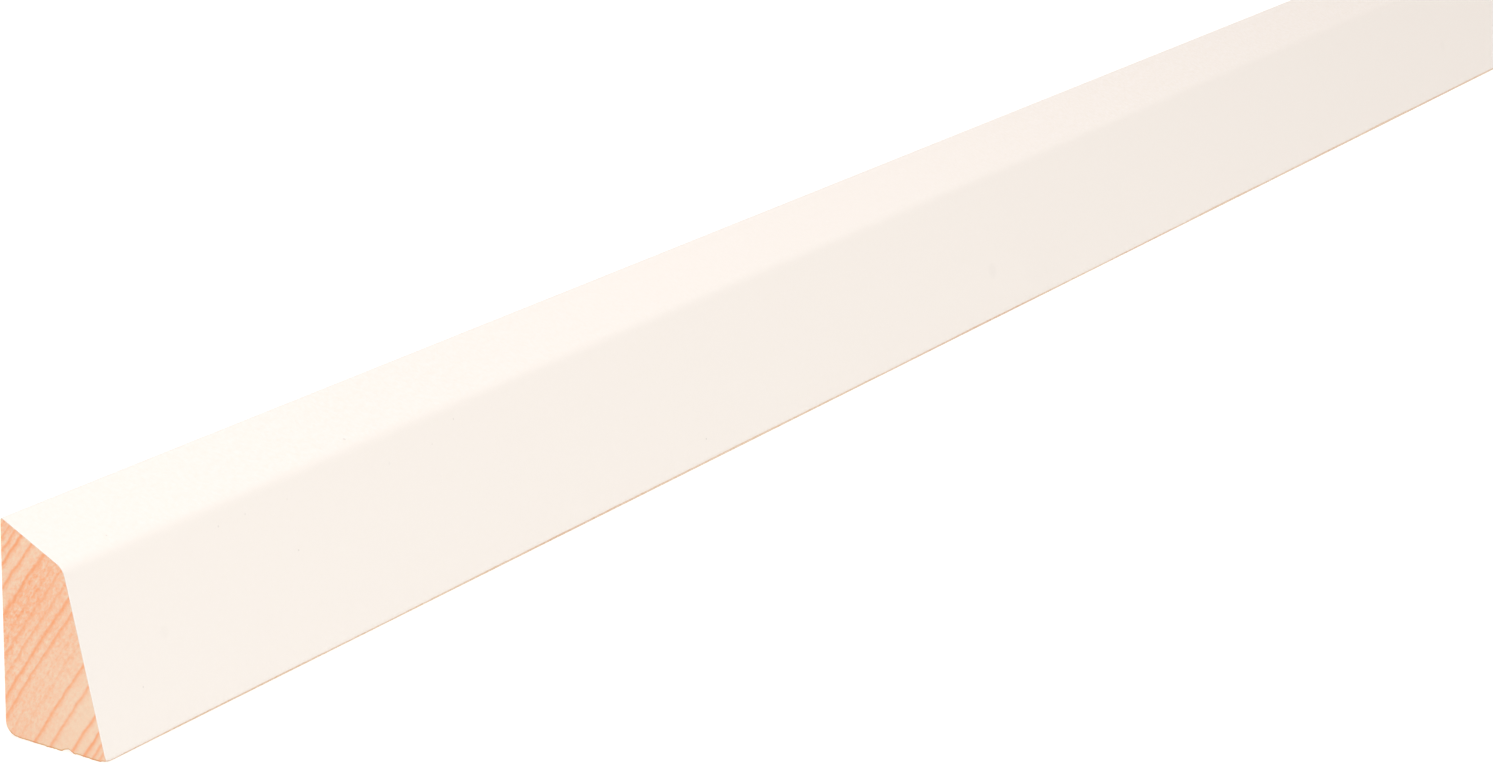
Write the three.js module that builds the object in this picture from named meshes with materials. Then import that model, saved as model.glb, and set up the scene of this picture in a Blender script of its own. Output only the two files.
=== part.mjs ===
// A straight length of skirting board: one planed softwood moulding, painted white.
// Its back stands flat against the wall and its underside on the floor. The front leans
// back from the toe to a rounded nose, and the top slopes up from there to a crest at the wall.
//
// Frame: +X along the board, +Y towards the wall, +Z up.
// The origin is in the middle of the rectangle that the board covers on the floor.

import * as THREE from 'three';

// Driving dimensions, in millimetres
const LENGTH = 700; // between the two square saw cuts
const HEIGHT = 36; // floor to crest
const DEPTH = 20; // wall to toe
const NOSE_RADIUS = 3; // where the front rolls over into the top
const HEEL_RADIUS = 2.5; // eased back edge, which clears the angle between floor and wall
const ARRIS_RADIUS = 0.4; // crest and toe, planed sharp and sanded once

// Driving angles
const TOP_SLOPE = THREE.MathUtils.degToRad(26); // fall of the top, from the crest to the nose
const FRONT_LEAN = THREE.MathUtils.degToRad(14.5); // lean of the front, away from upright

// The outward direction of each face, in the section: x towards the wall, y up
const UNDERSIDE = -Math.PI / 2;
const WALL = 0;
const TOP = Math.PI / 2 + TOP_SLOPE;
const FRONT = Math.PI - FRONT_LEAN;

const ARC_SEGMENTS = 8; // half the number of facets on each rounded edge

// How far a point lies out in a direction
function reach(point, direction) {
  return point.x * Math.cos(direction) + point.y * Math.sin(direction);
}

// The one point that lies at distance a out in direction A and at distance b out in direction B
function pointReaching(A, a, B, b) {
  const spread = Math.sin(B - A);
  return new THREE.Vector2(
    (a * Math.sin(B) - b * Math.sin(A)) / spread,
    (b * Math.cos(A) - a * Math.cos(B)) / spread,
  );
}

// The section is drawn round four discs, one in each rounded edge. Each arc turns from the
// outward direction of one face to that of the next, so the flat faces run straight from
// arc to arc and are tangent to both.
function boardSection() {
  const heel = new THREE.Vector2(DEPTH / 2 - HEEL_RADIUS, HEEL_RADIUS);
  const crest = new THREE.Vector2(DEPTH / 2 - ARRIS_RADIUS, HEIGHT - ARRIS_RADIUS);
  const toe = new THREE.Vector2(ARRIS_RADIUS - DEPTH / 2, ARRIS_RADIUS);

  // The nose's disc touches the same top and front faces as the small discs of crest and toe
  const setIn = NOSE_RADIUS - ARRIS_RADIUS;
  const nose = pointReaching(TOP, reach(crest, TOP) - setIn, FRONT, reach(toe, FRONT) - setIn);

  const section = new THREE.Shape();
  section.absarc(heel.x, heel.y, HEEL_RADIUS, UNDERSIDE, WALL);
  section.absarc(crest.x, crest.y, ARRIS_RADIUS, WALL, TOP);
  section.absarc(nose.x, nose.y, NOSE_RADIUS, TOP, FRONT);
  section.absarc(toe.x, toe.y, ARRIS_RADIUS, FRONT, UNDERSIDE + 2 * Math.PI);
  section.closePath();
  return section;
}

// The moulding is the section run straight from one saw cut to the other
function skirtingBoard() {
  const geometry = new THREE.ExtrudeGeometry(boardSection(), {
    depth: LENGTH,
    steps: 1,
    bevelEnabled: false,
    curveSegments: ARC_SEGMENTS,
  });
  const whitePaint = new THREE.MeshStandardMaterial({ color: 0xf4ece3, roughness: 0.5, metalness: 0 });
  const board = new THREE.Mesh(geometry, whitePaint);
  board.name = 'skirting_board';

  // Turned so that the section's x runs along +Y, its y along +Z and the extrusion along +X
  board.rotation.set(Math.PI / 2, Math.PI / 2, 0);
  board.position.x = -LENGTH / 2;
  return board;
}

const part = new THREE.Group();
part.add(skirtingBoard());

export default part;
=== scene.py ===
import math

import bpy
import numpy as np
from mathutils import Matrix, Vector


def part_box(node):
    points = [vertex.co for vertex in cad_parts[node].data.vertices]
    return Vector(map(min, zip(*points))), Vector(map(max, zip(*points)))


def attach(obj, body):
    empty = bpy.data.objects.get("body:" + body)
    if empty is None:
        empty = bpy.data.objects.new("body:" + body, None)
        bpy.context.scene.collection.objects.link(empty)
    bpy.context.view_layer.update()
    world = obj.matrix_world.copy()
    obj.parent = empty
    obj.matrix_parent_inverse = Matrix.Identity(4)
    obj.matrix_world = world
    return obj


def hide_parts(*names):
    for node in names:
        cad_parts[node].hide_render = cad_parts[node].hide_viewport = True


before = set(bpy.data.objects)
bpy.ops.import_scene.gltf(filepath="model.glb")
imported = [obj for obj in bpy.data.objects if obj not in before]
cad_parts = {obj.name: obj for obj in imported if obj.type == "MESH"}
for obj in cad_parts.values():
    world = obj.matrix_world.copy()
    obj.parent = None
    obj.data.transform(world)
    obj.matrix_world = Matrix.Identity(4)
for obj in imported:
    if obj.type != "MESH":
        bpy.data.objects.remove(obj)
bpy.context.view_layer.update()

# The board
# One length of pine, planed to its section by a moulder, sprayed white on the front and the top, and then
# crosscut square with a saw. Its bare back is nailed or glued to the wall, and it stands on the floor.

MM = 0.001
low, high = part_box("skirting_board")
LENGTH, DEPTH, HEIGHT = (high - low) / MM
NOSE_RADIUS = 3.0
HEEL_RADIUS = 2.5
ARRIS_RADIUS = 0.4  # of crest and toe
TOP_SLOPE = 26  # degrees that the top falls from the crest to the nose
FRONT_LEAN = 14.5  # degrees that the front leans back from upright

# The ways the flats face, turned from the wall over the crest
TOP = math.radians(90 + TOP_SLOPE)
FRONT = math.radians(180 - FRONT_LEAN)
UNDERSIDE = math.radians(270)

FLAT_STEPS = [0.48, 0.48, 0.48, 0.26]  # between points along back, top, front and the torn underside
ARC_POINTS = 13  # on each rounded edge


def section_outline():
    """The section's outline as points (y, z) and the way each one faces, anticlockwise from the heel.

    Each rounded edge is an arc round a disc, from the facing of one flat to that of the next. The nose's
    disc touches the same top and front planes as the small discs in crest and toe. Each flat runs straight
    from the end of one arc to the start of the next.
    """
    heel = np.array([DEPTH / 2 - HEEL_RADIUS, HEEL_RADIUS])
    crest = np.array([DEPTH / 2 - ARRIS_RADIUS, HEIGHT - ARRIS_RADIUS])
    toe = np.array([ARRIS_RADIUS - DEPTH / 2, ARRIS_RADIUS])
    planes = np.array([[math.cos(TOP), math.sin(TOP)], [math.cos(FRONT), math.sin(FRONT)]])
    reach = np.array([planes[0] @ crest, planes[1] @ toe]) + ARRIS_RADIUS - NOSE_RADIUS
    nose = np.linalg.solve(planes, reach)
    discs = [
        (heel, HEEL_RADIUS, UNDERSIDE - 2 * math.pi, 0.0),
        (crest, ARRIS_RADIUS, 0.0, TOP),
        (nose, NOSE_RADIUS, TOP, FRONT),
        (toe, ARRIS_RADIUS, FRONT, UNDERSIDE),
    ]
    turns = [np.linspace(start, end, ARC_POINTS) for _, _, start, end in discs]
    arcs = [
        centre + radius * np.column_stack([np.cos(turn), np.sin(turn)])
        for (centre, radius, _, _), turn in zip(discs, turns)
    ]
    points, facing = [], []
    for arc, turn, following, flat_step in zip(arcs, turns, arcs[1:] + arcs[:1], FLAT_STEPS):
        run = following[0] - arc[-1]
        steps = int(np.linalg.norm(run) / flat_step)
        along = np.linspace(0, 1, steps + 1)[1:-1, None]
        points += [arc, arc[-1] + along * run]
        facing += [turn, np.full(steps - 1, turn[-1])]
    return np.concatenate(points), np.concatenate(facing)


# The grain: the years' rings cross the section as near-straight lines, round a pith far beyond the toe.
# Each year is (its width in mm, how dark its latewood is), from the bark at the crest to the toe.
RING_LEAN = math.radians(55.5)  # of the lines, from the floor up towards the front
PITH_DISTANCE = 360.0  # from the line through the heel's corner
FIRST_LINE = 19.8  # from the heel's corner back towards the crest, square to the lines
RINGS_MIDDLE = 16.0  # from the heel's corner to the middle of the section, along the lines
YEARS = [
    (1.2, 0.75), (1.2, 0.75), (1.3, 0.8), (1.2, 1.0), (2.25, 0.9), (2.5, 1.0), (2.4, 0.4), (1.5, 0.65),
    (1.85, 0.55), (1.85, 0.9), (1.8, 0.75), (1.95, 0.2), (1.75, 0.3), (2.6, 0.8), (2.65, 0.75),
    (3.5, 0.85), (2.1, 0.95), (1.35, 0.75), (1.1, 0.65), (1.05, 0.55), (1.2, 0.5),
]
LATE_SHAPE = [(-0.27, 0.0), (-0.1, 0.85), (0.1, 1.0), (0.36, 0.4), (0.85, 0.0)]  # mm from the line, share
FAINT_BREADTH = 0.6  # of that shape, for the faintest line
DARK_BREADTH = 1.1  # and for the darkest, which is also broader
EARLY_WARMTH = [  # mm from the heel's corner square to the lines, how orange the early growth is there
    (-21.5, 0.35), (-17.0, 0.3), (-15.0, 0.2), (-12.6, 0.24), (-10.6, 0.5), (-8.6, 0.48), (-6.0, 0.32),
    (1.5, 0.26), (5.5, 0.16), (9.0, 0.04), (19.0, 0.08),
]
RING_WAVES = [(0.5, 610.0), (0.22, 187.0), (0.1, 73.0)]  # how far the rings swing (mm), over what length

along_rings = np.array([-math.cos(RING_LEAN), math.sin(RING_LEAN)])  # in (y, z)
inward = np.array([-math.sin(RING_LEAN), -math.cos(RING_LEAN)])  # from bark to pith
heel_corner = np.array([DEPTH / 2, 0.0])
pith = heel_corner + RINGS_MIDDLE * along_rings + PITH_DISTANCE * inward
lines = np.cumsum([width for width, _ in YEARS]) - YEARS[0][0] - FIRST_LINE
late_growth = [
    (line + off * (FAINT_BREADTH + (DARK_BREADTH - FAINT_BREADTH) * dark), share * dark)
    for line, (_, dark) in zip(lines, YEARS)
    for off, share in LATE_SHAPE
]


def grain_place(x, y, z):
    """How far a point lies from the heel's corner towards the pith, square to the rings.

    It is the pith's distance from the corner's ring, less that from the point, swung by slow sine waves
    along the board that all start at the near cut.
    """
    swing = sum(reach * np.sin((x + LENGTH / 2) * 2 * math.pi / length) for reach, length in RING_WAVES)
    return PITH_DISTANCE - np.hypot(y - pith[0], z - pith[1]) + swing


EASED = 0.06  # the cut's arris, worn this much
FILM = 0.12  # the paint's thickness
INNER = 0.32  # the last offset row of the sawn end, before its rows close on the middle
END_ROWS = 44
FINE_ROWS = 20  # close to each cut
FINE_REACH = 9.0  # how far along the board they go
CROWDING = 1.6  # the power by which they crowd towards the cut
LONG_STEP = 3.6  # between rows along the rest of the board


def stations():
    """The rows that carry the outline from the middle of one end to the middle of the other.

    Each has a place along the board, an inset from the outline and a scale about the section's middle.
    """
    half = LENGTH / 2
    end_inset = np.concatenate([np.full(END_ROWS, INNER), [FILM, EASED]])
    end_scale = np.concatenate([np.linspace(0, 1, END_ROWS + 1)[1:], [1.0, 1.0]])
    fine = EASED + FINE_REACH * np.linspace(0, 1, FINE_ROWS, endpoint=False) ** CROWDING
    count = int((LENGTH - 2 * FINE_REACH) / LONG_STEP)
    long_rows = np.linspace(FINE_REACH - half, half - FINE_REACH, count)
    side_rows = np.concatenate([fine - half, long_rows, half - fine[::-1]])
    ends = np.full(len(end_inset), half)
    x = np.concatenate([-ends, side_rows, ends])
    inset = np.concatenate([end_inset, np.zeros(len(side_rows)), end_inset[::-1]])
    scale = np.concatenate([end_scale, np.ones(len(side_rows)), end_scale[::-1]])
    return x, inset, scale


def ripple(places, seed, waves, shortest, longest):
    """A smooth uneven height, near -1 to 1, over places given by one array for each direction.

    It is a sum of sine waves of seeded directions, lengths and starts, over the root of their number.
    """
    draw = np.random.default_rng(seed)
    total = 0.0
    for _ in range(waves):
        direction = draw.normal(size=len(places))
        direction /= np.linalg.norm(direction)
        length = draw.uniform(shortest, longest)
        phase = sum(d * p for d, p in zip(direction, places)) / length * 2 * math.pi
        total = total + np.sin(phase + draw.uniform(0, 2 * math.pi))
    return total / math.sqrt(waves)


MIDDLE = (0.1, 0.42)  # where the ends' rows close: shares of the depth, towards the wall, and of the height
outline, facing = section_outline()
normal = np.column_stack([np.cos(facing), np.sin(facing)])
row_x, row_inset, row_scale = stations()
middle = np.array([MIDDLE[0] * DEPTH, MIDDLE[1] * HEIGHT])
section = middle + row_scale[:, None, None] * (outline - row_inset[:, None, None] * normal - middle)
x = np.broadcast_to(row_x[:, None], section.shape[:2]).copy()
y, z = section[..., 0].copy(), section[..., 1].copy()

# The saw's marks on both ends: latewood left proud of the softer early growth, faint arcs of the teeth,
# and fuzz. All are cut into the end, so none stands past the board's length.
LATE_RELIEF = 0.03
SAW_CENTRE = (-60.0, 160.0)  # of the blade, in (y, z)
SAW_PITCH = 1.35
SAW_RELIEF = 0.012
FUZZ_RELIEF = 0.018
on_end = (row_inset >= INNER)[:, None]
late = np.interp(grain_place(x, y, z), *zip(*late_growth))
tooth = np.hypot(y - SAW_CENTRE[0], z - SAW_CENTRE[1]) / SAW_PITCH
fuzz = ripple([y, z], seed=11, waves=40, shortest=0.9, longest=2.4)
relief = LATE_RELIEF * (late - 1) + SAW_RELIEF * (np.sin(tooth * 2 * math.pi) - 1)
relief += FUZZ_RELIEF * (fuzz - 1)
x += np.sign(x) * on_end * np.minimum(relief, 0)

# The saw came out through the lower edge of the near end, frayed it and tore short splinters from it.
# A tear is (its place from the wall, how far it tapers back and forward, its height, how far it runs
# along the board).
TEARS = [
    (0.0, 1.0, 9.0, 0.25, 3.0), (12.6, 1.5, 1.0, 0.66, 4.5),
    (14.6, 1.5, 2.6, 0.15, 3.0), (20.6, 2.0, 1.0, 0.4, 0.6),
]
FRAY_HEIGHT = 0.035
FRAY_REACH = 1.5
DRAWN_UP = 1.6  # the height over which the edge's lift dies out
from_wall = DEPTH / 2 - y
from_cut = row_x[:, None] + LENGTH / 2
fray = FRAY_HEIGHT * (1 + ripple([from_wall], seed=5, waves=14, shortest=0.7, longest=2.6))
lift = fray * np.exp(-((from_cut / FRAY_REACH) ** 2))
for place, back, forward, height, reach in TEARS:
    taper = np.where(from_wall < place, back, forward)
    share = np.clip(1 - np.abs(from_wall - place) / taper, 0, 1)
    lift = lift + height * share * np.exp(-((from_cut / reach) ** 2))
z += np.maximum(lift, 0) * np.clip(1 - z / DRAWN_UP, 0, 1)

# The mesh: quads between the rows, and a fan on each end's middle
SHARP_ANGLE = math.radians(32)
rows, points = x.shape
poles = np.array([[-LENGTH / 2, *middle], [LENGTH / 2, *middle]])
vertices = np.concatenate([np.column_stack([x.ravel(), y.ravel(), z.ravel()]), poles]) * MM
rim = np.arange(points)
next_rim = np.roll(rim, -1)
row_start = np.arange(rows - 1)[:, None] * points
first, beside = (row_start + rim).ravel(), (row_start + next_rim).ravel()
quads = np.column_stack([first, beside, beside + points, first + points])
last_row = (rows - 1) * points
near_fan = np.column_stack([np.full(points, rows * points), next_rim, rim])
far_fan = np.column_stack([np.full(points, rows * points + 1), last_row + rim, last_row + next_rim])

mesh = bpy.data.meshes.new("painted_pine_board")
mesh.from_pydata(vertices.tolist(), [], quads.tolist() + near_fan.tolist() + far_fan.tolist())
mesh.update()
board = bpy.data.objects.new("painted_pine_board", mesh)
bpy.context.collection.objects.link(board)
mesh.polygons.foreach_set("use_smooth", np.ones(len(mesh.polygons), bool))
mesh.set_sharp_from_angle(angle=SHARP_ANGLE)


def keep(name, values, at_poles):
    """Keeps a number for each point of the mesh, for the material: the grid's, then one for both poles."""
    numbers = np.append(np.broadcast_to(values, (rows, points)).ravel(), [at_poles, at_poles])
    mesh.attributes.new(name, "FLOAT", "POINT").data.foreach_set("value", numbers.astype(np.float32))


# How far each point lies inside the coat of paint, in mm, below 0 where the wood is bare: along the
# outline from the coat's two edges, and on the sawn ends down from the outline.
COAT_WRAP = 0.35  # down the back from the crest
TOE_WRAP = [  # mm from the near cut, how far the coat goes on round the toe, below 0 where it stops short
    (0, 0.14), (35, 0.1), (75, 0.03), (135, 0.0), (185, -0.1), (250, -0.03), (360, -0.03), (480, -0.18),
    (700, -0.15),
]
BARE_END = -9.0
travelled = np.concatenate([[0], np.cumsum(np.linalg.norm(np.diff(outline, axis=0), axis=1))])
crest_start = travelled[np.flatnonzero(facing == 0.0)[-1]]
toe_start = travelled[np.flatnonzero(np.isclose(facing, FRONT))[-1]]
toe_wrap = np.interp(from_cut, *zip(*TOE_WRAP))
past_toe = travelled - toe_start - toe_wrap
along_outline = np.minimum(travelled - crest_start + COAT_WRAP, -past_toe)
below_paint = np.where(row_inset > FILM, BARE_END, FILM - row_inset)
sawn = (row_inset > 0)[:, None]
on_cut = np.minimum(along_outline, below_paint[:, None])
keep("coat", np.where(sawn, on_cut, along_outline), BARE_END)
keep("sawn", sawn, 1.0)

# Painted shade, from 0 to 1, darkening the bare wood along the coat's edge at the toe and along the cuts'
# lower edges, which face the floor
SHADE_REACH = 0.8
LOWER_FALL = -0.7  # the sine of the way a point faces, below which it is on the lower edge
toe_shade = np.clip(1 - np.abs(past_toe) / SHADE_REACH, 0, 1)
lower_edge = sawn & (np.sin(facing) < LOWER_FALL)
keep("edge_shade", np.maximum(toe_shade, lower_edge) * (row_inset <= FILM)[:, None], 0.0)

# How much each point faces up, from 0 on the front to 1 on the top, by the sine of the way it faces
FRONT_RISE = 0.6
TOP_RISE = 0.85
keep("top", np.clip((np.sin(facing) - FRONT_RISE) / (TOP_RISE - FRONT_RISE), 0, 1), 0.0)


class Wire:
    """A socket of the material being made. Arithmetic between wires and numbers adds Math nodes."""

    tree = None

    def __init__(self, socket):
        self.socket = socket

    @classmethod
    def node(cls, kind, settings=None, inputs=None, output=None):
        """Adds a node of that type, and gives its output of that name, or else its first.

        The node's settings come first. Then each input gets its value or its link.
        """
        node = cls.tree.nodes.new("ShaderNode" + kind)
        for name, value in (settings or {}).items():
            setattr(node, name, value)
        for name, value in (inputs or {}).items():
            socket = next(s for s in node.inputs if s.enabled and name in (s.identifier, s.name))
            if isinstance(value, Wire):
                cls.tree.links.new(value.socket, socket)
            else:
                socket.default_value = value
        return cls(next(s for s in node.outputs if s.enabled and output in (None, s.identifier, s.name)))

    @classmethod
    def kept(cls, name):
        """The number that the mesh keeps under that name."""
        return cls.node("Attribute", {"attribute_name": name}, output="Fac")

    def math(self, operation, other=None):
        """What the operation makes of this wire, or of this wire and another one."""
        inputs = {"Value": self} if other is None else {"Value": self, "Value_001": other}
        return Wire.node("Math", {"operation": operation}, inputs)

    def __add__(self, other):
        return self.math("ADD", other)

    def __sub__(self, other):
        return self.math("SUBTRACT", other)

    def __rsub__(self, other):
        return Wire.node("Math", {"operation": "SUBTRACT"}, {"Value": other, "Value_001": self})

    def __mul__(self, other):
        return self.math("MULTIPLY", other)

    __radd__ = __add__
    __rmul__ = __mul__

    def step(self, start, end):
        """0 before start, 1 past end, and a smooth rise between them."""
        return Wire.node(
            "MapRange",
            {"interpolation_type": "SMOOTHSTEP"},
            {"Value": self, "From Min": start, "From Max": end},
        )

    def blend(self, below, above, how="MIX"):
        """The first colour where this wire is 0, and where it is 1 the second, or the two multiplied."""
        return Wire.node(
            "Mix",
            {"data_type": "RGBA", "blend_type": how},
            {"Factor": self, "A": below, "B": above},
        )

    def through(self, knots):
        """The height, at this wire, of the line through the knots (place, height from 0 to 1)."""
        start, end = knots[0][0], knots[-1][0]
        share = Wire.node("MapRange", {}, {"Value": self, "From Min": start, "From Max": end})
        spots = [((place - start) / (end - start), height) for place, height in knots]
        line = Wire.node("FloatCurve", {}, {"Value": share})
        mapping = line.socket.node.mapping
        curve = mapping.curves[0].points
        for spot in spots[1:-1]:
            curve.new(*spot)
        for knot, spot in zip(curve, spots):
            knot.location = spot
            knot.handle_type = "VECTOR"
        mapping.update()
        return line

    def times(self, scales):
        """This vector, scaled along each axis."""
        return Wire.node("VectorMath", {"operation": "MULTIPLY"}, {"Vector": self, "Vector_001": scales})

    def distance(self, place):
        """How far this vector lies from a place."""
        return Wire.node("VectorMath", {"operation": "DISTANCE"}, {"Vector": self, "Vector_001": place})

    def noise(self, cells, detail=2.0, roughness=0.5):
        """Cloudy noise round 0, from about -0.3 to 0.3, with so many cells to a unit along each axis."""
        inputs = {"Vector": self.times(cells), "Scale": 1.0, "Detail": detail, "Roughness": roughness}
        return Wire.node("TexNoise", {}, inputs) - 0.5


# The wood's colours, pale early growth and orange latewood, on the sawn ends and on the planed sides
EARLY_END = (0.788, 0.592, 0.430, 1)
LATE_END = (0.82, 0.34, 0.157, 1)
EARLY_SIDE = (0.80, 0.62, 0.43, 1)
LATE_SIDE = (0.68, 0.36, 0.175, 1)
SHADE_TINT = (0.74, 0.55, 0.28, 1)  # the colour that the painted shade multiplies the wood by
WOOD_ROUGHNESS = 0.76

# The wood's fibres, in cells per mm along the board and both ways across it. Fuzz and tufts are torn up
# on the sawn ends, along the rings and square to them, and are stronger in warm growth than in pale.
WAVER_CELLS = (0.02, 0.35, 0.35)
WAVER = 0.6  # how far noise swings the rings, in mm
FUZZ_CELLS = (0.5, 1.5, 2.6)
FUZZ_PALE = 0.45
FUZZ_WARM = 2.5
TUFT_CELLS = (0.5, 0.9, 1.6)
TUFT_PALE = 0.25
TUFT_WARM = 2.6
STREAK_CELLS = (0.035, 3.4, 3.4)
STREAK_SHARE = 0.6
CLOUD_CELLS = (0.01, 0.13, 0.13)
CLOUD_SHARE = 0.3
LATE_CALM = 0.5  # how much of all this latewood loses

# The coat's edges, ragged and thin, and darker there with painted shade above the toe, with dry spray
# beyond them: in mm inside the coat, and cells per mm
WANDER_CELLS = (0.025, 0.05, 0.05)
WANDER = 0.5
RAGGED_CELLS = (0.6, 1.2, 1.2)
RAGGED = 0.16
RAGGED_FROM = 1.5
RAGGED_FULLY = 0.3
COAT_FROM = -0.02
COAT_FULLY = 0.03
THIN_AND_SHADED_FROM = 0.5
THINNED_AND_SHADED = 0.1  # the share of the coat that is lost at its edge: partly thin paint, partly painted shade above the toe
DROPLET_CELLS = (1.2, 1.6, 1.6)
DROPLETS = 1.5
SPRAY_FROM = -4.5
SPRAY_FULLY = 0.4
DROPLET_LEAST = 0.35  # of the spray and its droplets together, where they begin to show
DROPLET_MOST = 1.3
SPRAY_COVER = 0.8
SPRAY_SHADED = 0.3  # how much of the spray the painted shade takes away

# The paint: a warm white in satin, sprayed, so that it dried with a peel like an orange's
THICK_PAINT = (0.827, 0.800, 0.764, 1)
THIN_PAINT = (0.795, 0.754, 0.692, 1)
MEAN_THINNESS = 0.5
PAINT_ROUGHNESS = 0.42
PEEL_CELLS = (1.2, 1.2, 1.2)
FRONT_PEEL = 0.35  # how strong the peel is
TOP_PEEL = 2.0
PEEL = [  # mm from the near cut, share of the top's peel, most where the gun's passes overlap
    (0, 0.5), (70, 0.75), (110, 0.7), (150, 0.4), (190, 0.2), (270, 0.15), (310, 0.4), (350, 0.72),
    (390, 1.0), (520, 0.9), (700, 0.7),
]
SPECK = (0.10, 0.09, 0.08, 1)
MARKS = [  # small marks in the paint: from the near cut, from the wall, up, radius in mm, how dark
    (74.1, 10.7, 31.0, 0.30, 0.16), (103.1, 13.0, 27.5, 0.20, 0.16), (83.0, 13.7, 24.9, 0.30, 0.06),
    (54.9, 15.5, 17.8, 0.16, 0.22), (36.7, 13.2, 26.7, 0.20, 0.14), (11.6, 17.9, 8.4, 0.17, 0.18),
    (13.0, 10.0, 31.4, 0.17, 0.16), (180.6, 19.0, 4.5, 0.20, 0.26), (95.7, 13.7, 25.0, 0.16, 0.13),
    (43.7, 13.2, 26.8, 0.20, 0.10), (54.7, 13.3, 26.3, 0.17, 0.07), (18.9, 16.3, 14.9, 1.1, 0.02),
    (305.8, 17.5, 10.1, 1.8, 0.035), (591.2, 16.8, 12.9, 1.6, 0.02),
]
MARK_FROM = 1.3  # of its radius, where a mark begins to show
MARK_FULLY = 0.5

# Relief finer than the mesh, in mm: open fibres in the wood, and the peel in the paint
FUZZ_HEIGHT = 0.05
STREAK_HEIGHT = 0.02
LATE_HEIGHT = 0.02
COAT_HEIGHT = 0.03
PEEL_HEIGHT = 0.03


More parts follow.
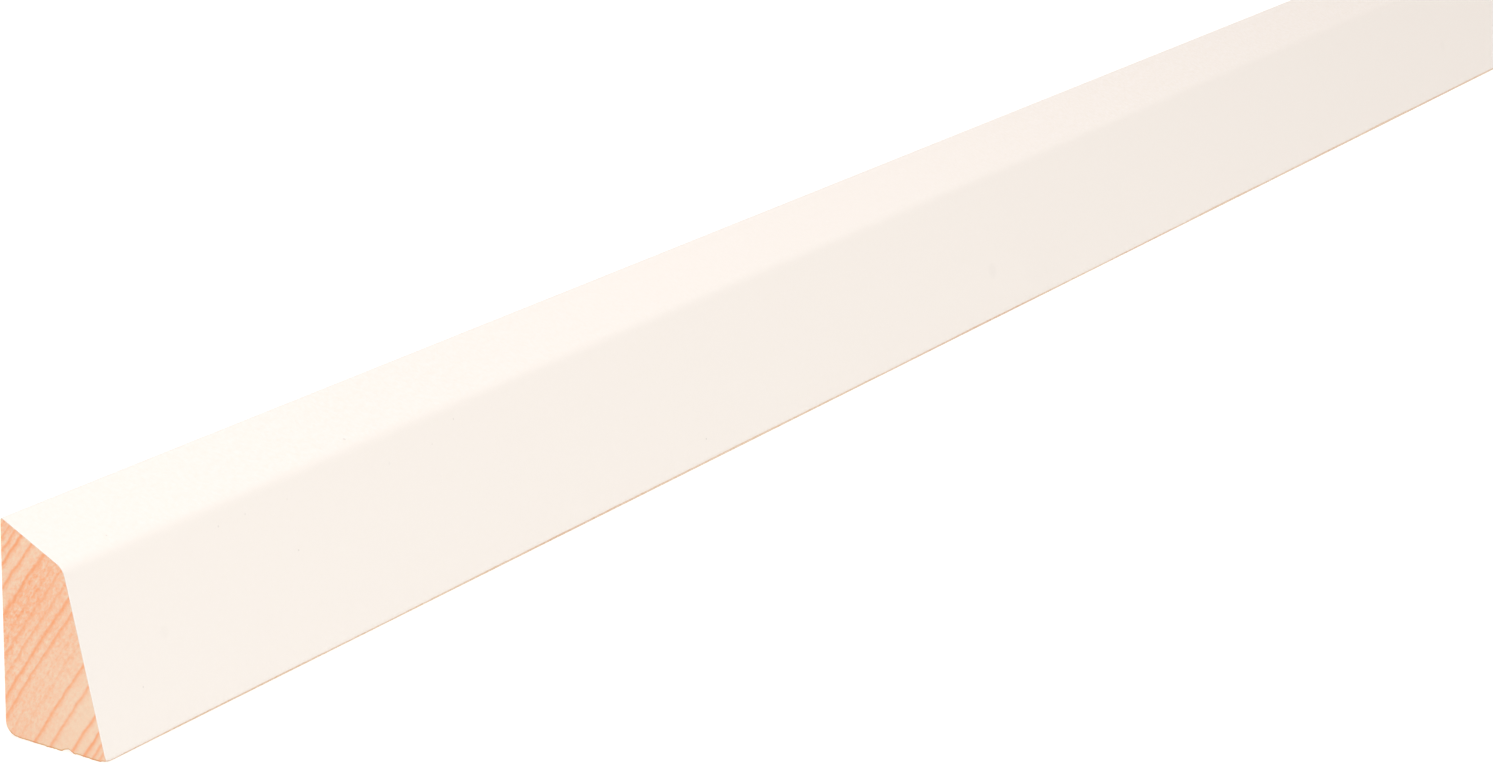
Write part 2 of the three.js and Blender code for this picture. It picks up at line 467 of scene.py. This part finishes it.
def painted_pine():
    """Bare pine, coloured through its whole depth, under a satin coat wherever the mesh keeps one."""
    material = bpy.data.materials.new("painted_pine")
    material.use_nodes = True
    Wire.tree = material.node_tree
    shader = Wire.tree.nodes["Principled BSDF"]

    point = Wire.node("TexCoord", output="Object").times((1 / MM, 1 / MM, 1 / MM))
    x, y, z = (Wire.node("SeparateXYZ", {}, {"Vector": point}, output=axis) for axis in "XYZ")
    from_cut = x + LENGTH / 2
    edge, sawn, edge_shade, top = (Wire.kept(name) for name in ("coat", "sawn", "edge_shade", "top"))
    planed = 1 - sawn

    # Rings: the same place in the grain as the mesh's relief uses, and a little more waver
    across = Wire.node("CombineXYZ", {}, {"Y": y - float(pith[0]), "Z": z - float(pith[1])})
    grain = PITH_DISTANCE - across.distance((0, 0, 0)) + point.noise(WAVER_CELLS) * WAVER
    for reach, length in RING_WAVES:
        grain = grain + (from_cut * (2 * math.pi / length)).math("SINE") * reach
    late = grain.through([(EARLY_WARMTH[0][0], 0.0), *late_growth, (EARLY_WARMTH[-1][0], 0.0)])
    warmth = grain.through(EARLY_WARMTH)

    # Fibres: torn across the sawn ends, and in long streaks on the planed sides
    along = y * float(along_rings[0]) + z * float(along_rings[1])
    in_grain = Wire.node("CombineXYZ", {}, {"X": x, "Y": along, "Z": grain})
    fuzz = in_grain.noise(FUZZ_CELLS, detail=3.0, roughness=0.7)
    tufts = in_grain.noise(TUFT_CELLS, detail=2.0, roughness=0.6)
    streak = point.noise(STREAK_CELLS, detail=3.0, roughness=0.6)
    cloud = point.noise(CLOUD_CELLS, detail=1.0)
    torn = fuzz * (warmth * FUZZ_WARM + FUZZ_PALE) + tufts * (warmth * TUFT_WARM + TUFT_PALE)
    mottle = sawn * torn + planed * streak * STREAK_SHARE + cloud * CLOUD_SHARE
    orange = warmth + mottle * (1 - late * LATE_CALM) + late * (1 - warmth)
    wood = orange.blend(sawn.blend(EARLY_SIDE, EARLY_END), sawn.blend(LATE_SIDE, LATE_END))
    # Painted shade: the wood darkened along the edges that face the floor
    shaded_wood = edge_shade.blend(wood, SHADE_TINT, "MULTIPLY")

    # The coat, where it is solid, and the spray beyond its edges
    uneven = point.noise(WANDER_CELLS) * WANDER + point.noise(RAGGED_CELLS) * RAGGED
    uneven_edge = edge + uneven * edge.step(RAGGED_FROM, RAGGED_FULLY)
    solid_coat = uneven_edge.step(COAT_FROM, COAT_FULLY)
    # The coat lets a little wood through near its edges: thinner paint there, and painted shade above the
    # toe
    thin_and_shaded = edge.step(THIN_AND_SHADED_FROM, 0.0) * THINNED_AND_SHADED
    droplets = point.noise(DROPLET_CELLS, detail=4.0, roughness=0.75) * DROPLETS
    sprayed = (edge.step(SPRAY_FROM, SPRAY_FULLY) + droplets).step(DROPLET_LEAST, DROPLET_MOST)
    # Less spray where the painted shade darkens the wood
    spray = sprayed * (SPRAY_COVER - edge_shade * SPRAY_SHADED)
    coat = (solid_coat - solid_coat * thin_and_shaded).math("MAXIMUM", spray)

    # The paint: its peel, far stronger on the top than on the front, and small dark marks
    strength = top * from_cut.through(PEEL) * TOP_PEEL + FRONT_PEEL
    peel = point.noise(PEEL_CELLS, detail=3.0, roughness=0.6) * strength
    paint = (peel + MEAN_THINNESS).blend(THICK_PAINT, THIN_PAINT)
    spots = 0.0
    for mark_from_cut, mark_from_wall, up, radius, dark in MARKS:
        place = (mark_from_cut - LENGTH / 2, DEPTH / 2 - mark_from_wall, up)
        spots = point.distance(place).step(radius * MARK_FROM, radius * MARK_FULLY) * dark + spots
    surface = coat.blend(shaded_wood, spots.blend(paint, SPECK))
    Wire.tree.links.new(surface.socket, shader.inputs["Base Color"])

    gloss = coat * (PAINT_ROUGHNESS - WOOD_ROUGHNESS) + WOOD_ROUGHNESS
    Wire.tree.links.new(gloss.socket, shader.inputs["Roughness"])

    fibres = sawn * fuzz * FUZZ_HEIGHT + planed * streak * STREAK_HEIGHT + late * LATE_HEIGHT
    height = solid_coat * (COAT_HEIGHT - peel * PEEL_HEIGHT) + (1 - solid_coat) * fibres
    bump = Wire.node("Bump", {}, {"Strength": 1.0, "Distance": MM, "Height": height})
    Wire.tree.links.new(bump.socket, shader.inputs["Normal"])
    return material


mesh.materials.append(painted_pine())
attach(board, "root")
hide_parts("skirting_board")

# The floor
# A plain white sheet that the board stands on, far larger than the picture and lit evenly from within,
# so that the board's shadow on it is faint.

FLOOR_HALF = 40.0
FLOOR_COLOUR = (0.3, 0.3, 0.3, 1)
FLOOR_ROUGHNESS = 0.9
FLOOR_GLOW_COLOUR = (1, 0.98, 0.96, 1)
FLOOR_GLOW = 0.79

floor_corners = FLOOR_HALF * np.array([(-1, -1, 0), (1, -1, 0), (1, 1, 0), (-1, 1, 0)])
floor_mesh = bpy.data.meshes.new("floor")
floor_mesh.from_pydata(floor_corners.tolist(), [], [(0, 1, 2, 3)])
floor = bpy.data.objects.new("floor", floor_mesh)
bpy.context.collection.objects.link(floor)
pale = bpy.data.materials.new("pale_floor")
pale.use_nodes = True
floor_shader = pale.node_tree.nodes["Principled BSDF"]
floor_shader.inputs["Base Color"].default_value = FLOOR_COLOUR
floor_shader.inputs["Roughness"].default_value = FLOOR_ROUGHNESS
floor_shader.inputs["Emission Color"].default_value = FLOOR_GLOW_COLOUR
floor_shader.inputs["Emission Strength"].default_value = FLOOR_GLOW
floor_mesh.materials.append(pale)

# The light
# A bright, slightly warm room and soft lamps: two over the board, one in front of it and a weak one that
# faces the sawn end. All but one stand nearer to that end, so the far end is a little darker and warmer.

ROOM_COLOUR = (1, 0.906, 0.868, 1)
ROOM_STRENGTH = 0.706
LAMP_TARGET = Vector((-0.2, 0, 0))
LAMPS = [  # name, place and side in m, power in W, colour
    ("near_lamp", (-0.6, 0.0, 1.1), 0.8, 4.75, (0.886, 0.941, 1.0)),
    ("middle_lamp", (0.1, 0.0, 1.3), 1.0, 3.65, (1.0, 0.99, 1.0)),
    ("front_lamp", (-0.7, -1.0, 0.55), 0.8, 3.25, (0.942, 0.998, 1.0)),
    ("end_lamp", (-1.5, 0.35, 0.5), 0.5, 1.5, (1.0, 1.0, 1.0)),
]

world = bpy.data.worlds.new("warm_room")
bpy.context.scene.world = world
world.use_nodes = True
world.node_tree.nodes["Background"].inputs["Color"].default_value = ROOM_COLOUR
world.node_tree.nodes["Background"].inputs["Strength"].default_value = ROOM_STRENGTH

for name, place, side, power, colour in LAMPS:
    lamp_data = bpy.data.lights.new(name, "AREA")
    lamp_data.shape = "SQUARE"
    lamp_data.size = side
    lamp_data.energy = power
    lamp_data.color = colour
    lamp = bpy.data.objects.new(name, lamp_data)
    bpy.context.collection.objects.link(lamp)
    lamp.location = place
    lamp.rotation_euler = (LAMP_TARGET - lamp.location).to_track_quat("-Z", "Y").to_euler()

bpy.context.scene.view_settings.view_transform = "Standard"

# The camera
# It stands in front of the board's near end and a little above it, tilted by a hair, and looks along the
# board through a long lens, as the picture was taken.

PHOTO_WIDTH = 1493
FOCAL_PIXELS = 3729.7
SENSOR_WIDTH = 36.0
NEAREST = 0.01
CAMERA_MM = Vector((-760.92, -355.81, 227.46))
YAW = math.radians(29.768)  # from along the board towards the wall
PITCH = math.radians(17.121)  # down from level
ROLL = math.radians(-1.904)

ahead = Vector((math.cos(YAW) * math.cos(PITCH), math.sin(YAW) * math.cos(PITCH), -math.sin(PITCH)))
level = ahead.cross(Vector((0, 0, 1))).normalized()
below = ahead.cross(level)
right = math.cos(ROLL) * level + math.sin(ROLL) * below
down = math.cos(ROLL) * below - math.sin(ROLL) * level
camera_data = bpy.data.cameras.new("camera")
camera_data.sensor_width = SENSOR_WIDTH
camera_data.lens = FOCAL_PIXELS / PHOTO_WIDTH * SENSOR_WIDTH
camera_data.clip_start = NEAREST
camera = bpy.data.objects.new("camera", camera_data)
bpy.context.collection.objects.link(camera)
turn = Matrix((right, -down, -ahead)).transposed()
camera.matrix_world = Matrix.Translation(CAMERA_MM * MM) @ turn.to_4x4()
bpy.context.scene.camera = camera
